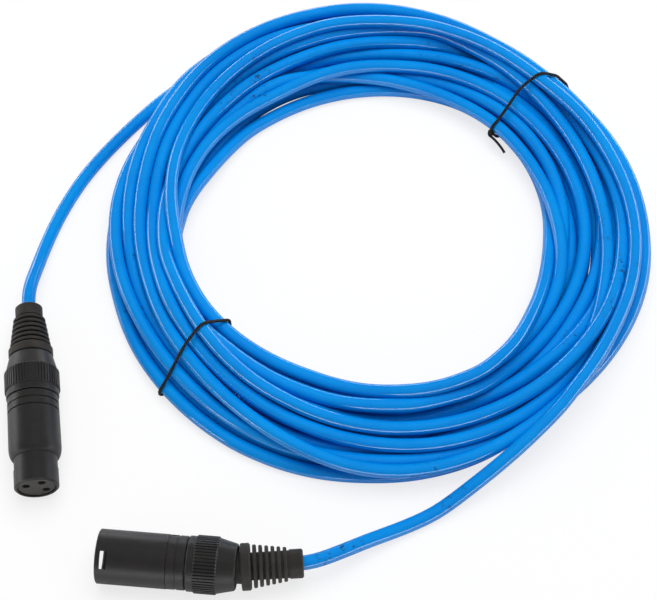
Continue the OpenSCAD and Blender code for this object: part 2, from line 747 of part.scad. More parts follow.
// Shell of the male connector: neck and shroud, with latch window and rear notches.
module male_shell() {
    r = m_shell_d / 2;
    bore_r = m_bore_d / 2;
    rear_z = m_notch_z - 1;
    color(black)
        place_male()
            difference() {
                turned_solid([[neck_bore_d / 2, -neck_l], [neck_d / 2 - 0.4, -neck_l],
                    [neck_d / 2, -neck_l + 0.4], [neck_d / 2, 0], [r - 0.4, 0], [r - 0.1, 0.3],
                    [r - 0.1, m_line_z - 0.3], [r - 0.3, m_line_z - 0.2],
                    [r - 0.3, m_line_z + 0.2], [r - 0.1, m_line_z + 0.3],
                    [r - 0.1, m_step_z - 0.4], [r - 0.3, m_step_z - 0.3],
                    [r - 0.3, m_step_z - 0.1], [r, m_step_z],
                    [r, m_shell_l - 0.3], [r - 0.3, m_shell_l], [bore_r + 0.3, m_shell_l],
                    [bore_r, m_shell_l - 0.5], [bore_r, rear_z], [neck_bore_d / 2, rear_z]]);
                translate([-m_window_w / 2, 0, m_shell_l - m_window_z - m_window_l])
                    cube([m_window_w, r + 1, m_window_l]);
                translate([-r - 1, -m_notch_w / 2, m_notch_z])
                    cube([2 * r + 2, m_notch_w, m_notch_l]);
            }
}

// Insulating insert that carries the pins, with a skirt and two lugs in the notches.
module male_insert() {
    face_z = m_shell_l - m_tip_depth - m_pin_out;
    r = m_bore_d / 2 - fit_gap;
    skirt_z = m_notch_z + m_skirt_in;
    lug_r = m_shell_d / 2 - m_lug_depth;
    lug_z = m_notch_z + fit_gap;
    color("#1d1d1f")
        place_male()
            difference() {
                union() {
                    turned_solid([[0, face_z], [r - 0.3, face_z], [r, face_z - 0.3], [r, skirt_z],
                        [r - 1.2, skirt_z], [r - 1.2, face_z - m_insert_t], [0, face_z - m_insert_t]]);
                    for (s = [-1, 1])
                        intersection() {
                            translate([0, 0, lug_z])
                                cylinder(r = lug_r, h = m_notch_l - 2 * fit_gap);
                            translate([s * (r + lug_r) / 2, 0, lug_z + m_notch_l / 2 - fit_gap])
                                cube([lug_r - r + 2.2, m_notch_w - 2 * fit_gap,
                                    m_notch_l - 2 * fit_gap], center = true);
                        }
                }
                for (a = contact_angles)
                    rotate([0, 0, a])
                        translate([contact_circle_r, 0, face_z - m_insert_t - 1])
                            cylinder(d = pin_seat_d + fit_gap, h = m_insert_t + 2);
            }
}

// Contact pin: rounded tip in the shroud, open solder cup at the rear.
module male_pin(k) {
    tip_z = m_shell_l - m_tip_depth;
    face_z = tip_z - m_pin_out;
    rear_z = face_z - m_insert_t - end_gap;
    seat_z = face_z + end_gap;
    r = pin_d / 2;
    color(metal)
        place_male()
            rotate([0, 0, contact_angles[k]])
                translate([contact_circle_r, 0, 0])
                    difference() {
                        turned_solid([[0, m_cup_z], [cup_d / 2, m_cup_z], [cup_d / 2, rear_z],
                            [pin_seat_d / 2, rear_z], [pin_seat_d / 2, seat_z], [r, seat_z],
                            [r, tip_z - 1],
                            [r * 0.8, tip_z - 0.35], [r * 0.45, tip_z], [0, tip_z]]);
                        translate([0, 0, m_cup_z - 1])
                            cylinder(d = cup_bore_d, h = cup_depth + 1);
                        translate([0.2, -cup_d / 2 - 1, m_cup_z - 1])
                            cube([cup_d, cup_d + 2, cup_depth]);
                    }
}

module male_pin_1() {
    male_pin(0);
}

module male_pin_2() {
    male_pin(1);
}

module male_pin_3() {
    male_pin(2);
}

module male_chuck() {
    place_male()
        chuck();
}

module male_collar() {
    place_male()
        collar();
}

// The male bend relief leans in plan, so its bore has a straight and a leaning part.
module male_boot() {
    bore_r = cable_r + relief_gap;
    color(rubber)
        place_male(0)
            difference() {
                union() {
                    relief_neck(collar_l + m_setback + 1);
                    translate([0, 0, -collar_l])
                        rotate([m_tilt, 0, 0])
                            translate([0, 0, -m_setback])
                                relief_body();
                }
                translate([0, 0, -collar_l - bend_room])
                    cylinder(r = bore_r, h = collar_l);
                translate([0, 0, -collar_l])
                    rotate([m_tilt, 0, 0])
                        turned_solid([[0, 0], [bore_r + bend_room / 3, 0],
                            [bore_r + bend_room / 3, -4 * bend_room], [bore_r, -5 * bend_room],
                            [bore_r, -male_relief_end - 1], [0, -male_relief_end - 1]]);
            }
}

module male_cores() {
    place_male()
        cores(m_cup_z);
}

cable_coil();
cable_tail_female();
cable_tail_male();
tie_upper();
tie_lower();
female_shell();
female_insert();
female_contact_1();
female_contact_2();
female_contact_3();
female_latch();
female_latch_spring();
female_latch_pin();
female_chuck();
female_collar();
female_boot();
female_cores();
male_shell();
male_insert();
male_pin_1();
male_pin_2();
male_pin_3();
male_chuck();
male_collar();
male_boot();
male_cores();
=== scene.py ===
import math

import bpy
import numpy as np
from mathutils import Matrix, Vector
from mathutils.geometry import convex_hull_2d


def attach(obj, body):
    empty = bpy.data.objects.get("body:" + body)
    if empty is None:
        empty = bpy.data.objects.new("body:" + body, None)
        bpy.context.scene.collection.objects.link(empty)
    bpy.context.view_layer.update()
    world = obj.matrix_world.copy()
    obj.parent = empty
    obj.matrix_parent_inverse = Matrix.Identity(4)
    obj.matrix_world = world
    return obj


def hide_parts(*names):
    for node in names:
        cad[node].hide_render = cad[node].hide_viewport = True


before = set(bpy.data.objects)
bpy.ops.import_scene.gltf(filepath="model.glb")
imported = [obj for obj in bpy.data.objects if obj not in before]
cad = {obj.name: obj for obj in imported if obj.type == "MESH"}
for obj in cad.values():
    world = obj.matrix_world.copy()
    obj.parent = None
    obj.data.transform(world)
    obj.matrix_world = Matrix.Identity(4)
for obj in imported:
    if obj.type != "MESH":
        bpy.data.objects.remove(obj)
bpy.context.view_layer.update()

# ---------------------------------------------------------------- Camera
# It stands in front of the coil and looks down on it at about sixty degrees.
CAMERA_AT = Vector((-0.002, -0.3263, 0.5454))
FROM_STRAIGHT_DOWN = 30.5
camera = bpy.data.objects.new("camera", bpy.data.cameras.new("camera"))
bpy.context.scene.collection.objects.link(camera)
camera.location = CAMERA_AT
camera.rotation_euler = (math.radians(FROM_STRAIGHT_DOWN), 0, 0)
camera.data.sensor_width = 36
camera.data.lens = 89.7
bpy.context.scene.camera = camera

# ---------------------------------------------------------------- Cable
# One ten-metre microphone cable with a smooth soft plastic jacket, wound by hand into nearly
# eighteen turns that lie loosely on each other. They are laid one after another and sink
# until they rest, and a ring of corners is swept along them. Its values are in millimetres.
CABLE_D = 5.2
CABLE_R = CABLE_D / 2
PILE_CENTRE = np.array([14.5, 21.0])

# The straight ways out of the two bend reliefs, then the free ends along the surface.
female_end = [[-112.13, -39.52, 10.1], [-113.7, -27.62, 10.1], [-115.42, -14.54, 10.1],
    [-116.07, -9.58, 10.1], [-115.9, -4, 9.2], [-115.1, 3, 7], [-114.2, 10, 4.7],
    [-112.9, 17.5, 3.1], [-110.9, 25, 2.6], [-108.2, 33, 2.6], [-102.3, 46.5, 2.6],
    [-96, 57.4, 2.6], [-88.2, 68.5, 2.6], [-79.7, 79.2, 2.6], [-70.4, 89.7, 2.6],
    [-59.2, 99.7, 2.6], [-47, 107.8, 2.6], [-32, 114.6, 2.6]]
male_end = [[75.5, -65, 17], [66.5, -73.2, 15], [59.5, -79, 12], [53, -84, 8.4],
    [46, -89, 5.4], [38.5, -93.7, 3.4], [29.5, -98.4, 2.6], [20.5, -102.6, 3.5],
    [12.5, -106.5, 5.6], [5.5, -110.4, 7.8], [-1, -113.8, 9.5], [-6.74, -116.2, 10.1],
    [-10.73, -116.89, 10.1], [-16.7, -117.27, 10.1], [-22.69, -117.68, 10.1]]

# The winding runs clockwise from the left in stations of five degrees. A turn has a mark
# every thirty degrees: its distance from the pile's centre, as it shows from the camera at
# the height of the pile's top, or 0 where other turns cover it. The first turn is laid
# first. The numbers after a turn's name tell how high it lies where turns cross, at its
# beginning and at its end.
TURN_STATIONS = 72
STATION_DEG = 360 / TURN_STATIONS
MARK_STATIONS = 6
TURN_MARKS = TURN_STATIONS // MARK_STATIONS
turns = [
    ("first, from outside", 0, 0,
     [111, 110, 106, 103, 0, 0, 0, 0, 0, 0, 0, 0]),
    ("lowest", 1, 1,
     [0, 0, 0, 0, 0, 0, 0, 0, 0, 0, 0, 0]),
    ("inner, second from inside", 7, 6,
     [74, 69.5, 68.9, 70.3, 73.5, 74.9, 73, 71.3, 0, 0, 0, 0]),
    ("fourth from outside, right", 5, 5,
     [0, 0, 0, 80.9, 85.8, 88, 89.1, 86.7, 85, 0, 0, 0]),
    ("under the inner turns", 6, 3,
     [0, 0, 0, 0, 0, 0, 77.3, 77, 76.5, 0, 0, 0]),
    ("outer, lower left", 2, 2,
     [0, 0, 0, 0, 0, 0, 0, 0, 0, 104, 103, 99.7]),
    ("coming out beside the fifth", 3, 5,
     [0, 0, 0, 0, 0, 0, 0, 0, 0, 0, 0, 92]),
    ("second from outside, left", 10, 11,
     [93, 98.5, 104.8, 105.5, 0, 0, 0, 0, 105.8, 107.2, 94.4, 89.2]),
    ("outermost, right", 12, 4,
     [87.7, 94, 103.6, 107, 101.2, 101.4, 104.5, 104.8, 104.5, 102, 99.8, 95.5]),
    ("outermost, left", 4, 3,
     [98.5, 0, 0, 0, 0, 0, 0, 0, 0, 108.3, 107.4, 102.8]),
    ("crossing inwards below", 3, 5,
     [0, 0, 0, 0, 0, 0, 0, 0, 0, 0, 0, 0]),
    ("outwards under the last", 9, 13.5,
     [0, 82.5, 88.7, 94.4, 0, 0, 0, 0, 100.9, 95.5, 88.3, 83.1]),
    ("fourth from outside, left", 13, 11,
     [82.6, 89.4, 98, 0, 0, 0, 97.5, 95.9, 93, 88.8, 82.7, 78.2]),
    ("beside the last, right", 11, 9,
     [0, 79.2, 81.7, 87.5, 92.5, 94, 95.2, 91.5, 87.1, 84.2, 0, 0]),
    ("middle, right", 9, 10,
     [0, 74, 72.3, 74.5, 79.2, 81.2, 82.3, 81.2, 80, 80, 79.5, 0]),
    ("inner, lower right", 9, 9,
     [0, 0, 0, 0, 0, 0, 0, 0, 76.2, 76, 78.5, 0]),
    ("innermost, top left", 8, 13,
     [0, 65, 61.6, 62.2, 66.9, 68.1, 68.5, 71.4, 0, 0, 71.4, 74]),
    ("last, over all", 16, 16,
     [77, 84.4, 93.4, 99, 98.7, 99.1, 101.5, 100.7, 105.5, 115, 120, 125]),
]

# How far in and out the pile goes, every fifteen degrees, for the middles of its turns.
LIMIT_STATIONS = 3
outer_limit = [99.3, 98.1, 97.7, 101.2, 104.4, 104.9, 106.3, 103.7, 100.8, 99.6, 100.3, 102.9,
               105.2, 105.3, 104.2, 103.2, 105, 108.5, 108.1, 108.5, 107.4, 105.4, 103.4, 100.8]
inner_limit = [75.5, 70.6, 65, 63.8, 61.6, 61.2, 61.8, 63.4, 66.5, 67.5, 67.8, 67.9,
               68.2, 69.6, 71.4, 74.9, 77.3, 76.2, 74.2, 71.3, 70.9, 72.9, 74.2, 75]

# Stations of the first turn and of the last one, at which the free ends take over.
FIRST_LAID = 4
FEMALE_HOLDS_TO = 13
MALE_DRAWS_FROM = 46
MALE_HOLDS_FROM = 50
LAST_TURN_ENDS = 52
last_turn = (len(turns) - 1) * TURN_STATIONS
last_station = last_turn + LAST_TURN_ENDS


def smooth_line(points, places):
    """Points of a Catmull-Rom line through the given ones, at places counted in points."""
    points = np.asarray(points, float)
    last = len(points) - 1
    i = np.clip(np.floor(places).astype(int), 0, last - 1)
    t = (places - i)[:, None]
    a, b = points[np.maximum(i - 1, 0)], points[i]
    c, d = points[i + 1], points[np.minimum(i + 2, last)]
    return 0.5 * (2 * b + (c - a) * t + (2 * a - 5 * b + 4 * c - d) * t ** 2
                  + (3 * b - a - 3 * c + d) * t ** 3)


def round_the_pile(limit):
    """A limit of the pile at every station, from its values every fifteen degrees."""
    return np.interp(stations / LIMIT_STATIONS % len(limit), range(len(limit) + 1),
                     limit + limit[:1])


stations = np.arange(last_station + 1)
station_angle = 180 - STATION_DEG * stations
outward = np.stack([np.cos(np.radians(station_angle)), np.sin(np.radians(station_angle))], 1)
marks = np.array([mark for _, _, _, its_marks in turns for mark in its_marks], float)
marks_at = np.arange(len(marks))
known = marks > 0
every_mark = np.interp(marks_at, marks_at[known], marks[known])[:, None]
shown = smooth_line(every_mark, stations / MARK_STATIONS)[:, 0]
open_to_view = np.interp(stations / MARK_STATIONS, marks_at, known)
ranks = np.concatenate([np.linspace(begins, ends, TURN_MARKS) for _, begins, ends, _ in turns])
rank = np.interp(stations / MARK_STATIONS, marks_at, ranks)
least_shown = round_the_pile(inner_limit)
most_shown = round_the_pile(outer_limit)

# A turn that lies lower than the pile's top stands farther from the camera than it shows,
# at the place where the camera's line of sight meets its height.
TOP = 17.0
HIGHEST = 21
camera_mm = np.array(CAMERA_AT) * 1000


def standing(radius, z):
    """The distance from the pile's centre at which a turn of height z shows at a radius."""
    on_top = PILE_CENTRE + radius[:, None] * outward
    reach = ((camera_mm[2] - np.clip(z, CABLE_R, HIGHEST)) / (camera_mm[2] - TOP))[:, None]
    there = camera_mm[:2] + (on_top - camera_mm[:2]) * reach
    return np.sum((there - PILE_CENTRE) * outward, 1)


def polar(points):
    """Angle clockwise from the left in stations, distance from the centre, and height."""
    points = np.asarray(points, float)
    from_centre = points[:, :2] - PILE_CENTRE
    turned = np.degrees(np.arctan2(from_centre[:, 1], from_centre[:, 0]))
    distance = np.hypot(from_centre[:, 0], from_centre[:, 1])
    return (180 - turned) / STATION_DEG, distance, points[:, 2]


def degrees_past(angles, middle):
    """How far angles lie past a middle one, between -180 and 180 degrees."""
    return (angles - middle + 180) % 360 - 180


# The free ends hold the winding's first and last stations where they lie.
FEMALE_BESIDE_FROM = 9
MALE_BESIDE_TO = 7
pinned = (stations >= FIRST_LAID) & (stations <= FEMALE_HOLDS_TO)
pinned |= stations >= last_turn + MALE_HOLDS_FROM
at, out, up = polar(female_end[FEMALE_BESIDE_FROM:])
pinned_radius = np.interp(stations, at, out)
pinned_height = np.interp(stations, at, up)
at, out, up = polar(male_end[:MALE_BESIDE_TO])
leaving = stations >= last_turn + MALE_DRAWS_FROM
pinned_radius[leaving] = np.interp(stations[leaving] - last_turn, at, out)
pinned_height[leaving] = np.interp(stations[leaving] - last_turn, at, up)

# The tie cords under the pile lift it a little, at two angles.
UPPER_TIE_AT = 44.5
LOWER_TIE_AT = -139.5
TIE_LIFTS = 1.5
LIFT_BEGINS = 14
LIFT_GROWS_OVER = 9
raised = np.zeros(len(stations))
for tie_at in (UPPER_TIE_AT, LOWER_TIE_AT):
    apart = np.abs(degrees_past(station_angle, tie_at))
    raised = np.maximum(raised, TIE_LIFTS * np.clip((LIFT_BEGINS - apart) / LIFT_GROWS_OVER, 0, 1))

# The turns sink layer by layer, fast at first: each pair of SINK holds until a share of the
# rounds is done, and gives the fall of one round. Two turns keep a cable's width apart, the
# cable's stiffness smooths them, and the ties hold the pile down under a lid.
SPACE = CABLE_D + 0.05
SINK = ((0.35, 0.4), (0.7, 0.15), (0.9, 0.05), (1.0, 0.01))
LAYER = 4.5
LID = 21.5
FIRST_LID = 80
WISH_PULL = 0.06
END_PULL = 0.3
STIFF_SIDEWAYS = 0.4
STIFF_UPWARDS = 0.14
STATION_LENGTH = 7.9
GIVE_WAY = 0.3
RANK_TELLS = 0.02
PAST_INNER_LIMIT = 1
PAST_OUTER_LIMIT = 3


def pushed_apart(radius, height, slope):
    """How far turns that come too close push each station outwards and upwards.

    A pair's distance is measured between the lines of both, from each station to the next.
    """
    move = np.zeros((len(stations), 2))
    for apart in range(TURN_STATIONS, last_station, TURN_STATIONS):
        over, under = slice(FIRST_LAID + apart, None), slice(FIRST_LAID, -apart)
        sideways = (radius[over] - radius[under]) / np.sqrt(1 + (slope[over] - slope[under]) ** 2)
        upwards = height[over] - height[under] + RANK_TELLS * np.sign(rank[over] - rank[under])
        here = np.column_stack([sideways, upwards])
        way = np.diff(here, axis=0)
        t = np.clip(-np.sum(here[:-1] * way, 1) / (np.sum(way ** 2, 1) + 1e-9), 0, 1)
        nearest = here[:-1] + t[:, None] * way
        gap = np.sqrt(np.sum(nearest ** 2, 1)) + 1e-6
        push = np.where(gap < SPACE, GIVE_WAY * (SPACE - gap) / gap, 0)[:, None] * nearest
        first, second = push * (1 - t)[:, None], push * t[:, None]
        move[over][:-1] += first
        move[over][1:] += second
        move[under][:-1] -= first
        move[under][1:] -= second
    return move


height = CABLE_R + LAYER * rank
radius = standing(shown, height)
rounds = 900
for step in range(rounds):
    done = step / rounds
    height -= next(fall for until, fall in SINK if done < until)
    wish = standing(shown, height)
    radius += np.where(leaving, END_PULL * (pinned_radius - radius),
                       WISH_PULL * open_to_view * (wish - radius))
    for values, give in ((radius, STIFF_SIDEWAYS), (height, STIFF_UPWARDS)):
        between = 0.5 * (values[FIRST_LAID:-2] + values[FIRST_LAID + 2:])
        values[FIRST_LAID + 1:-1] += give * (between - values[FIRST_LAID + 1:-1])
    slope = np.gradient(radius) / STATION_LENGTH
    for again in range(3):
        move = pushed_apart(radius, height, slope)
        radius = radius + move[:, 0]
        height = np.maximum(height + move[:, 1], CABLE_R + raised)
    height = np.minimum(height, max(LID, FIRST_LID * (1 - done)))
    least = np.maximum(standing(least_shown, height), least_shown - PAST_INNER_LIMIT)
    most = np.minimum(standing(most_shown, height), most_shown + PAST_OUTER_LIMIT)
    radius = np.where(leaving | pinned, radius, np.clip(radius, least, most))
    radius = np.where(pinned, pinned_radius, radius)
    height = np.where(pinned, pinned_height, height)

# The whole line from connector to connector, with a ring's centre every few millimetres.
MALE_GOES_ON_FROM = 5
POINTS_TO_A_STATION = 12
RING_STEP = 2.7
wound = np.column_stack([PILE_CENTRE + radius[:, None] * outward, height])
wound = wound[FEMALE_HOLDS_TO:last_turn + MALE_HOLDS_FROM + 1]
through = np.vstack([female_end[:-1], wound, male_end[MALE_GOES_ON_FROM:]])
spans = len(through) - 1
line = smooth_line(through, np.linspace(0, spans, spans * POINTS_TO_A_STATION + 1))
run = np.concatenate([[0], np.cumsum(np.linalg.norm(np.diff(line, axis=0), axis=1))])
cable_length = run[-1]
ring_at = np.linspace(0, cable_length, int(cable_length / RING_STEP))
centres = np.column_stack([np.interp(ring_at, run, line[:, k]) for k in range(3)])
for again in range(3):
    centres[1:-1] = 0.25 * centres[:-2] + 0.5 * centres[1:-1] + 0.25 * centres[2:]


def tube(name, line, radius, sides, ring=False):
    """A closed tube along a line, with its length and its way round in a UV map, along.

    Its rings of corners stand square to the line, each without twist from the one before.
    """
    rows = len(line)
    ahead = np.roll(line, -1, 0) - np.roll(line, 1, 0) if ring else np.gradient(line, axis=0)
    ahead /= np.linalg.norm(ahead, axis=1)[:, None]
    side = np.zeros_like(line)
    side[0] = np.cross(ahead[0], [0, 0, 1])
    side[0] /= np.linalg.norm(side[0])
    for k in range(1, rows):
        square = side[k - 1] - ahead[k] * (side[k - 1] @ ahead[k])
        side[k] = square / np.linalg.norm(square)
    turn = np.arange(sides) * 2 * math.pi / sides
    corners = line[:, None] + radius * (
        np.cos(turn)[None, :, None] * side[:, None]
        + np.sin(turn)[None, :, None] * np.cross(ahead, side)[:, None])
    bands = rows if ring else rows - 1
    faces = [(k * sides + i, k * sides + (i + 1) % sides, (k + 1) % rows * sides + (i + 1) % sides,
              (k + 1) % rows * sides + i) for k in range(bands) for i in range(sides)]
    if not ring:
        faces += [tuple(reversed(range(sides))), tuple(range((rows - 1) * sides, rows * sides))]
    mesh = bpy.data.meshes.new(name)
    mesh.from_pydata((corners.reshape(-1, 3) / 1000).tolist(), [], faces)
    mesh.shade_smooth()
    steps = np.linalg.norm(np.roll(line, -1, 0) - line, axis=1)
    at = np.concatenate([[0], np.cumsum(steps)]) / 1000
    along_map = mesh.uv_layers.new(name="along")
    uv = np.zeros((len(mesh.loops), 2))
    band, place = np.repeat(np.arange(bands), sides), np.tile(np.arange(sides), bands)
    for corner, (up, on) in enumerate(((0, 0), (0, 1), (1, 1), (1, 0))):
        uv[corner:4 * len(band):4, 0] = at[band + up]
        uv[corner:4 * len(band):4, 1] = (place + on) / sides
    along_map.data.foreach_set("uv", uv.reshape(-1).astype(np.float32))
    made = bpy.data.objects.new(name, mesh)
    bpy.context.scene.collection.objects.link(made)
    return made


CABLE_SIDES = 20
cable = tube("cable", centres, CABLE_R, CABLE_SIDES)
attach(cable, "cable")
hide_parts("cable_coil", "cable_tail_female", "cable_tail_male")


class Wire:
    """A shader socket: arithmetic on it adds Math nodes, and node() adds any other node."""

    def __init__(self, tree, socket):
        self.tree, self.socket = tree, socket

    def node(self, kind, settings=None, out=0, **sockets):
        """Adds a node. A socket goes by its name, with _ for a space, or by i and its number."""
        made = self.tree.nodes.new("ShaderNode" + kind)
        for name, value in (settings or {}).items():
            setattr(made, name, value)
        for name, value in sockets.items():
            socket = made.inputs[int(name[1:]) if name[1:].isdigit() else name.replace("_", " ")]
            if isinstance(value, Wire):
                self.tree.links.new(value.socket, socket)
            else:
                socket.default_value = value
        return Wire(self.tree, made.outputs[out])

    def math(self, operation, first, second=0.0):
        return self.node("Math", {"operation": operation}, i0=first, i1=second)

    def __add__(self, other):
        return self.math("ADD", self, other)

    def __sub__(self, other):
        return self.math("SUBTRACT", self, other)

    def __rsub__(self, other):
        return self.math("SUBTRACT", other, self)

    def __mul__(self, other):
        return self.math("MULTIPLY", self, other)

    __radd__, __rmul__ = __add__, __mul__


def srgb(r, g, b):
    """Shader colour of an 8-bit screen colour."""
    return (*((c / 255 / 12.92) if c <= 10 else ((c / 255 + 0.055) / 1.055) ** 2.4
              for c in (r, g, b)), 1)


def new_finish(name, **constants):
    """A material, its Principled shader, and a wire of Object coordinates."""
    made = bpy.data.materials.new(name)
    made.use_nodes = True
    tree = made.node_tree
    shader = tree.nodes["Principled BSDF"]
    for socket, value in constants.items():
        shader.inputs[socket.replace("_", " ")].default_value = value
    place = Wire(tree, tree.nodes.new("ShaderNodeTexCoord").outputs["Object"])
    return made, shader, place


def feed(shader, socket, wire):
    """Links a wire to a socket of the shader."""
    wire.tree.links.new(wire.socket, shader.inputs[socket])


def patches(place, scale, low, high, detail=3.0, rough=0.55):
    """A mask that is 0 where a cloud pattern lies below low, and 1 where it is over high."""
    cloud = place.node("TexNoise", Vector=place, Scale=scale, Detail=detail, Roughness=rough)
    return cloud.node("MapRange", Value=cloud, From_Min=low, From_Max=high)


def blend_colours(mask, first, second):
    """The first colour where the mask is 0, and the second where it is 1."""
    return mask.node("Mix", {"data_type": "RGBA"}, out=2, i0=mask, i6=first, i7=second)


def along_and_round(place):
    """The way along a tube in metres and the way round it in turns."""
    uv_map = place.node("UVMap", {"uv_map": "along"})
    return (uv_map.node("SeparateXYZ", out=0, Vector=uv_map),
            uv_map.node("SeparateXYZ", out=1, Vector=uv_map))


# The jacket's blue changes a little from place to place, dark scuffs have gathered where it
# was dragged over floors, and the two cores inside show as a slow spiral swell.
JACKET_BLUE = srgb(0, 147, 232)
JACKET_DEEP = srgb(0, 130, 218)
SCUFF_BLUE = srgb(34, 48, 78)
CORE_LAY = 0.045
CORES = 2
jacket, shader, place = new_finish("blue_jacket", Specular_IOR_Level=0.06, Coat_Roughness=0.03,
                                   Coat_IOR=2.2)
tone = patches(place, 26, 0.35, 0.65)
fine_tone = patches(place, 240, 0.3, 0.7)
scuffs = patches(place, 420, 0.56, 0.66, 4.0, 0.7) * patches(place, 30, 0.62, 0.69, 2.0)
colour = blend_colours(tone * 0.6 + fine_tone * 0.25, JACKET_BLUE, JACKET_DEEP)
feed(shader, "Base Color", blend_colours(scuffs * 0.8, colour, SCUFF_BLUE))
feed(shader, "Roughness", 0.36 + fine_tone * 0.08 + scuffs * 0.25)
feed(shader, "Coat Weight", 0.34 - scuffs * 0.22)
along, turned = along_and_round(place)
swell = place.math("SINE", along * (2 * math.pi / CORE_LAY) + turned * (2 * math.pi * CORES))
grain = place.node("TexNoise", Vector=place, Scale=1400.0, Detail=2.0)
relief = swell * 0.3 + fine_tone * 0.1 + grain * 0.1
feed(shader, "Normal", place.node("Bump", Height=relief, Strength=0.2, Distance=0.0001))
cable.data.materials.append(jacket)

# ---------------------------------------------------------------- Ties
# Two thin black braided cords, each knotted round the whole pile and drawn tight. Each
# follows the outline of the turns that it holds, and its knot and its end lie inside.
TIE_R = 0.6
TIE_SIDES = 10
TIE_STEP = 0.8
TIE_GAP = 0.12
STRAND_CORNERS = 32
PILE_MIDDLE_Z = 8
CLOSE_DEG = 10
RINGS_BEFORE = 5
RINGS_AFTER = 7
INNER_SHARE = 0.2
KNOT_Z = 7
KNOT_R = 0.95
KNOT_HALF = 1.2
KNOT_FALL = 0.19
END_LENGTH = 9
END_FALL = 2
END_R = TIE_R * 0.9
END_SIDES = 8
END_STEP = 0.6
BRAID_BLACK = srgb(30, 30, 32)
BRAID_WORN = srgb(58, 57, 58)
BRAID_STEP = 0.0013
BRAID_STRANDS = 3
tie_cord, shader, place = new_finish("black_braid", Specular_IOR_Level=0.3)
along, turned = along_and_round(place)
u, v = along * (2 * math.pi / BRAID_STEP), turned * (2 * math.pi * BRAID_STRANDS)
braid = place.math("SINE", u + v) * place.math("SINE", u - v)
fibres = patches(place, 4000, 0.3, 0.7)
feed(shader, "Base Color", blend_colours(braid * 0.3 + fibres * 0.4, BRAID_BLACK, BRAID_WORN))
feed(shader, "Roughness", 0.72 + fibres * 0.15)
feed(shader, "Normal", place.node("Bump", Height=braid, Strength=0.8, Distance=0.00015))


def evenly(line, step):
    """The same line with its points a step apart."""
    run = np.concatenate([[0], np.cumsum(np.linalg.norm(np.diff(line, axis=0), axis=1))])
    at = np.linspace(0, run[-1], int(run[-1] / step) + 1)
    return np.column_stack([np.interp(at, run, line[:, k]) for k in range(line.shape[1])])


def held_strands(middle, lean):
    """Distance from the pile's centre and height of the strands that a leaning tie holds.

    They are the places where the cable passes the tie's angle. Where the tie leans, they
    are found again a few rings before or behind.
    """
    from_centre = centres[:, :2] - PILE_CENTRE
    past = degrees_past(np.degrees(np.arctan2(from_centre[:, 1], from_centre[:, 0])), middle)
    passing = np.flatnonzero((past[:-1] > 0) & (past[1:] <= 0) & (past[:-1] < CLOSE_DEG))
    nearby = passing[:, None] + np.arange(-RINGS_BEFORE, RINGS_AFTER)
    leans = np.zeros(len(passing))
    for again in range(3):
        held = np.array([[np.interp(-at, -past[rings], centres[rings, k]) for k in range(3)]
                         for at, rings in zip(leans, nearby)])
        reach = np.hypot(*(held[:, :2] - PILE_CENTRE).T)
        leans = lean(*[(v - v.min()) / np.ptp(v) for v in (reach, held[:, 2])])
    return reach, held[:, 2]


def tight_outline(reach, z):
    """The outline of a ring round each strand, from the inner side over the top."""
    turn = np.arange(STRAND_CORNERS) * 2 * math.pi / STRAND_CORNERS
    ring_r = CABLE_R + TIE_R + TIE_GAP
    edge = np.stack([reach[:, None] + ring_r * np.cos(turn),
                     z[:, None] + ring_r * np.sin(turn)], -1).reshape(-1, 2)
    outline = edge[convex_hull_2d(edge.tolist())]
    rise, off = outline[:, 1] - PILE_MIDDLE_Z, outline[:, 0] - np.mean(outline[:, 0])
    outline = outline[np.argsort(-np.arctan2(rise, off))]
    return evenly(np.vstack([outline, outline[:1]]), TIE_STEP)[:-1]


def knotted_end(name, knot_at, end_way):
    """A knot of two turns round the tie, and the cord's end, which leans on the pile."""
    inwards = PILE_CENTRE - knot_at[:2]
    inwards /= np.linalg.norm(inwards)
    along = np.array([-inwards[1], inwards[0]]) * end_way
    spin = np.linspace(0, 4 * math.pi, 48)
    knot = np.column_stack([
        knot_at[:2] + KNOT_R * (np.cos(spin)[:, None] * inwards + np.sin(spin)[:, None] * along),
        knot_at[2] + KNOT_HALF - spin * KNOT_FALL])
    away = np.linspace(0.1, 1, 12)[:, None]
    bent = knot_at[:2] + inwards * (0.9 + 0.9 * away ** 2) + along * (0.3 + END_LENGTH * away)
    end = np.column_stack([bent, knot_at[2] - KNOT_HALF - END_FALL * away[:, 0] ** 2])
    return tube(name, evenly(np.vstack([knot, end]), END_STEP), END_R, END_SIDES)


def wrapped_tie(name, middle, bow, inner, outer, end_way, replaced):
    """A tie at an angle round the pile, in degrees.

    It bows along the turns by bow degrees on top, and lies inner and outer degrees from
    the angle at its sides. Its end lies along the turns, one way or the other, 1 or -1.
    """
    def lean(across, up):
        """Degrees past the angle, at shares of the way across the pile and up it."""
        bulge = 4 * across * (1 - across) * np.clip(2 * up - 0.6, 0, 1)
        return inner + (outer - inner) * across + (bow - (inner + outer) / 2) * bulge

    outline = tight_outline(*held_strands(middle, lean))
    low, high = outline.min(0), outline.max(0)
    across, up = ((outline - low) / (high - low)).T
    way = np.radians(middle + lean(across, up))
    loop = np.column_stack([PILE_CENTRE[0] + outline[:, 0] * np.cos(way),
                            PILE_CENTRE[1] + outline[:, 0] * np.sin(way), outline[:, 1]])
    band = tube(name, loop, TIE_R, TIE_SIDES, ring=True)
    inside = across <= INNER_SHARE
    knot_at = loop[inside][np.argmin(np.abs(outline[inside, 1] - KNOT_Z))]
    end = knotted_end(name + "_end", knot_at, end_way)

    bpy.ops.object.select_all(action="DESELECT")
    end.select_set(True)
    band.select_set(True)
    bpy.context.view_layer.objects.active = band
    bpy.ops.object.join()
    band.data.materials.append(tie_cord)
    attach(band, "cable")
    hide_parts(replaced)


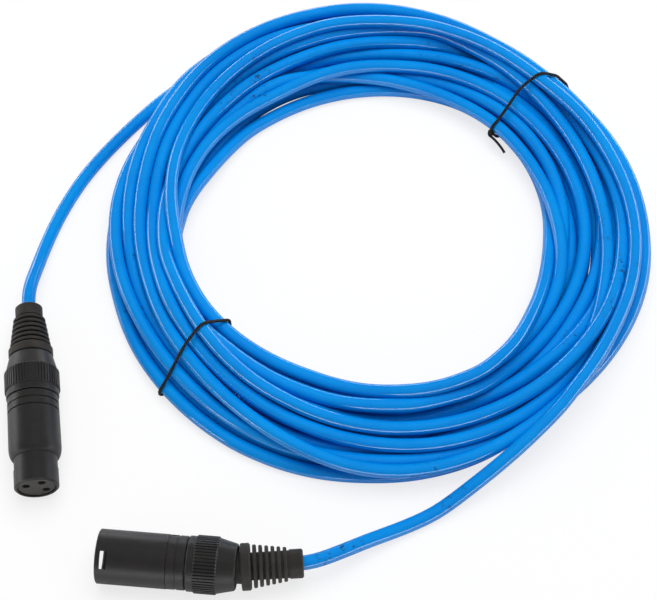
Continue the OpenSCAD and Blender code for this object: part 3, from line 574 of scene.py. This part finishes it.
wrapped_tie("upper_tie", UPPER_TIE_AT, 0.3, 0.1, -5.2, 1, "tie_upper")
wrapped_tie("lower_tie", LOWER_TIE_AT, -1.5, -1.0, 0.4, -1, "tie_lower")

# ---------------------------------------------------------------- Shells and collars
# Die-cast metal with a satin black coat: the female shell with its nose, the male shell
# with its window, and the knurled collar on each. Handling has polished the coat a little.
COAT_BLACK = srgb(37, 36, 36)
COAT_RUBBED = srgb(48, 46, 45)


def finish_pieces(finish, *nodes):
    """Gives CAD pieces their finish."""
    for name in nodes:
        cad[name].data.materials.clear()
        cad[name].data.materials.append(finish)


satin_coat, shader, place = new_finish("satin_black_coat", Specular_IOR_Level=0.32)
mottle = patches(place, 900, 0.35, 0.65)
rubbed = patches(place, 60, 0.5, 0.72, 4.0)
feed(shader, "Base Color", blend_colours(mottle * 0.35 + rubbed * 0.4, COAT_BLACK, COAT_RUBBED))
feed(shader, "Roughness", 0.42 - rubbed * 0.08 + mottle * 0.05)
peel = place.node("TexNoise", Vector=place, Scale=2600.0, Detail=3.0)
feed(shader, "Normal", place.node("Bump", Height=peel, Strength=0.25, Distance=0.00006))
finish_pieces(satin_coat, "female_shell", "female_collar", "male_shell", "male_collar")

# ---------------------------------------------------------------- Inserts and chucks
# The discs that hold the contacts, and the slotted chucks that grip the cable, are
# moulded in hard black and dark grey plastic with a dull grained face.
INSERT_BLACK = srgb(56, 55, 54)
INSERT_GRAIN = srgb(68, 66, 64)
CHUCK_GREY = srgb(60, 60, 61)
CHUCK_GRAIN = srgb(70, 70, 70)
insert_plastic, shader, place = new_finish("insert_plastic", Specular_IOR_Level=0.3)
grain = patches(place, 1500, 0.3, 0.7)
feed(shader, "Base Color", blend_colours(grain, INSERT_BLACK, INSERT_GRAIN))
feed(shader, "Roughness", 0.5 + grain * 0.1)
feed(shader, "Normal", place.node("Bump", Height=grain, Strength=0.2, Distance=0.00005))
finish_pieces(insert_plastic, "female_insert", "male_insert")

chuck_plastic, shader, place = new_finish("chuck_plastic")
grain = patches(place, 1200, 0.3, 0.7)
feed(shader, "Base Color", blend_colours(grain, CHUCK_GREY, CHUCK_GRAIN))
feed(shader, "Roughness", 0.55 + grain * 0.1)
finish_pieces(chuck_plastic, "female_chuck", "male_chuck")

# ---------------------------------------------------------------- Contacts
# Turned brass pins and sockets, plated, with a trace of wear where they rub. They are
# pushed into the inserts from behind.
PLATING = srgb(222, 214, 190)
WORN_BRASS = srgb(196, 180, 142)
contact_metal, shader, place = new_finish("plated_contact", Metallic=1.0)
wear = patches(place, 700, 0.45, 0.7)
feed(shader, "Base Color", blend_colours(wear, PLATING, WORN_BRASS))
feed(shader, "Roughness", 0.22 + wear * 0.14)
finish_pieces(contact_metal, "female_contact_1", "female_contact_2", "female_contact_3",
              "male_pin_1", "male_pin_2", "male_pin_3")

# ---------------------------------------------------------------- Latch
# The latch lever is hard black plastic. Its leaf spring is bent from steel strip, and its
# pivot pin is drawn steel, pressed through the shell and the lever.
LATCH_BLACK = srgb(34, 34, 35)
LATCH_RUBBED = srgb(50, 50, 50)
STEEL = srgb(190, 190, 188)
STEEL_DULL = srgb(160, 160, 160)
latch_plastic, shader, place = new_finish("latch_plastic")
rub = patches(place, 300, 0.5, 0.7)
feed(shader, "Base Color", blend_colours(rub, LATCH_BLACK, LATCH_RUBBED))
feed(shader, "Roughness", 0.4 - rub * 0.1)
finish_pieces(latch_plastic, "female_latch")

drawn_steel, shader, place = new_finish("drawn_steel", Metallic=1.0)
dull = patches(place, 500, 0.4, 0.6, 5.0)
feed(shader, "Base Color", blend_colours(dull, STEEL, STEEL_DULL))
feed(shader, "Roughness", 0.25 + dull * 0.15)
finish_pieces(drawn_steel, "female_latch_spring", "female_latch_pin")

# ---------------------------------------------------------------- Bend reliefs
# Ribbed sleeves of soft black rubber, moulded in one with their wide ring. The rubber
# is matt, a little warm in colour and lighter where it is handled.
RUBBER_BLACK = srgb(42, 40, 38)
RUBBER_BLOOM = srgb(58, 55, 52)
relief_rubber, shader, place = new_finish("relief_rubber", Specular_IOR_Level=0.25)
bloom = patches(place, 130, 0.42, 0.66, 4.0)
grain = patches(place, 2200, 0.3, 0.7)
feed(shader, "Base Color", blend_colours(bloom * 0.7 + grain * 0.3, RUBBER_BLACK, RUBBER_BLOOM))
feed(shader, "Roughness", 0.58 + bloom * 0.12)
feed(shader, "Normal", place.node("Bump", Height=grain, Strength=0.3, Distance=0.00006))
finish_pieces(relief_rubber, "female_boot", "male_boot")

# ---------------------------------------------------------------- Cores
# Two insulated conductors and the twisted screen of each cable end, soldered into the
# contacts' cups. They share one finish, the red of the insulation.
CORE_RED = srgb(176, 52, 44)
CORE_DARK = srgb(150, 40, 36)
core_insulation, shader, place = new_finish("core_insulation", Roughness=0.4)
feed(shader, "Base Color", blend_colours(patches(place, 90, 0.4, 0.6), CORE_RED, CORE_DARK))
finish_pieces(core_insulation, "female_cores", "male_cores")

# ---------------------------------------------------------------- Floor and light
# A white floor in a white room with a wide soft lamp overhead. The camera sees the floor
# three quarters as its own light, so the shadows on it are faint, and gloss reflects a room
# with bright walls and a dim ceiling.
WHITE = (1, 1, 1, 1)
FLOOR_SIZE = 6
FLOOR_OWN_LIGHT = 0.75
bpy.ops.mesh.primitive_plane_add(size=FLOOR_SIZE)
floor = bpy.context.active_object
floor.name = "floor"
floor_finish, shader, place = new_finish("white_floor", Roughness=0.9)
feed(shader, "Base Color", blend_colours(patches(place, 3, 0.4, 0.6), (0.95, 0.95, 0.95, 1),
                                         (0.94, 0.94, 0.94, 1)))
tree = floor_finish.node_tree
seen = Wire(tree, tree.nodes.new("ShaderNodeLightPath").outputs["Is Camera Ray"])
glow = seen.node("Emission", Color=WHITE, Strength=1.0)
mixed = seen.node("MixShader", i0=seen * FLOOR_OWN_LIGHT, i1=Wire(tree, shader.outputs[0]),
                  i2=glow)
tree.links.new(mixed.socket, tree.nodes["Material Output"].inputs["Surface"])
floor.data.materials.append(floor_finish)

SOFT_LIGHT = 0.42
SEEN_WHITE = 1.0
DIM_CEILING = 0.07
BRIGHT_WALLS = 8.0
WALLS_END = 0.05
CEILING_BEGINS = 0.24
world = bpy.data.worlds.new("room")
bpy.context.scene.world = world
world.use_nodes = True
tree = world.node_tree
tree.nodes.remove(tree.nodes["Background"])
rays = tree.nodes.new("ShaderNodeLightPath")
to_camera = Wire(tree, rays.outputs["Is Camera Ray"])
in_gloss = Wire(tree, rays.outputs["Is Glossy Ray"])
look = Wire(tree, tree.nodes.new("ShaderNodeTexCoord").outputs["Generated"])
overhead = look.node("MapRange", Value=look.node("SeparateXYZ", out=2, Vector=look),
                     From_Min=WALLS_END, From_Max=CEILING_BEGINS)
soft, white, dim, walls = (look.node("Background", Color=WHITE, Strength=level)
                           for level in (SOFT_LIGHT, SEEN_WHITE, DIM_CEILING, BRIGHT_WALLS))
gloss = look.node("MixShader", i0=overhead, i1=walls, i2=dim)
around = look.node("MixShader", i0=in_gloss, i1=soft, i2=gloss)
room = look.node("MixShader", i0=to_camera, i1=around, i2=white)
tree.links.new(room.socket, tree.nodes["World Output"].inputs["Surface"])

LAMP_SIZE = 1.0
LAMP_POWER = 12.3
lamp = bpy.data.objects.new("over", bpy.data.lights.new("over", "AREA"))
bpy.context.scene.collection.objects.link(lamp)
lamp.data.size = LAMP_SIZE
lamp.data.energy = LAMP_POWER
lamp.location = (0.1, 0.2, 1.2)
lamp.rotation_euler = (-lamp.location).to_track_quat("-Z", "Y").to_euler()
lamp.visible_glossy = False
bpy.context.scene.view_settings.view_transform = "Standard"
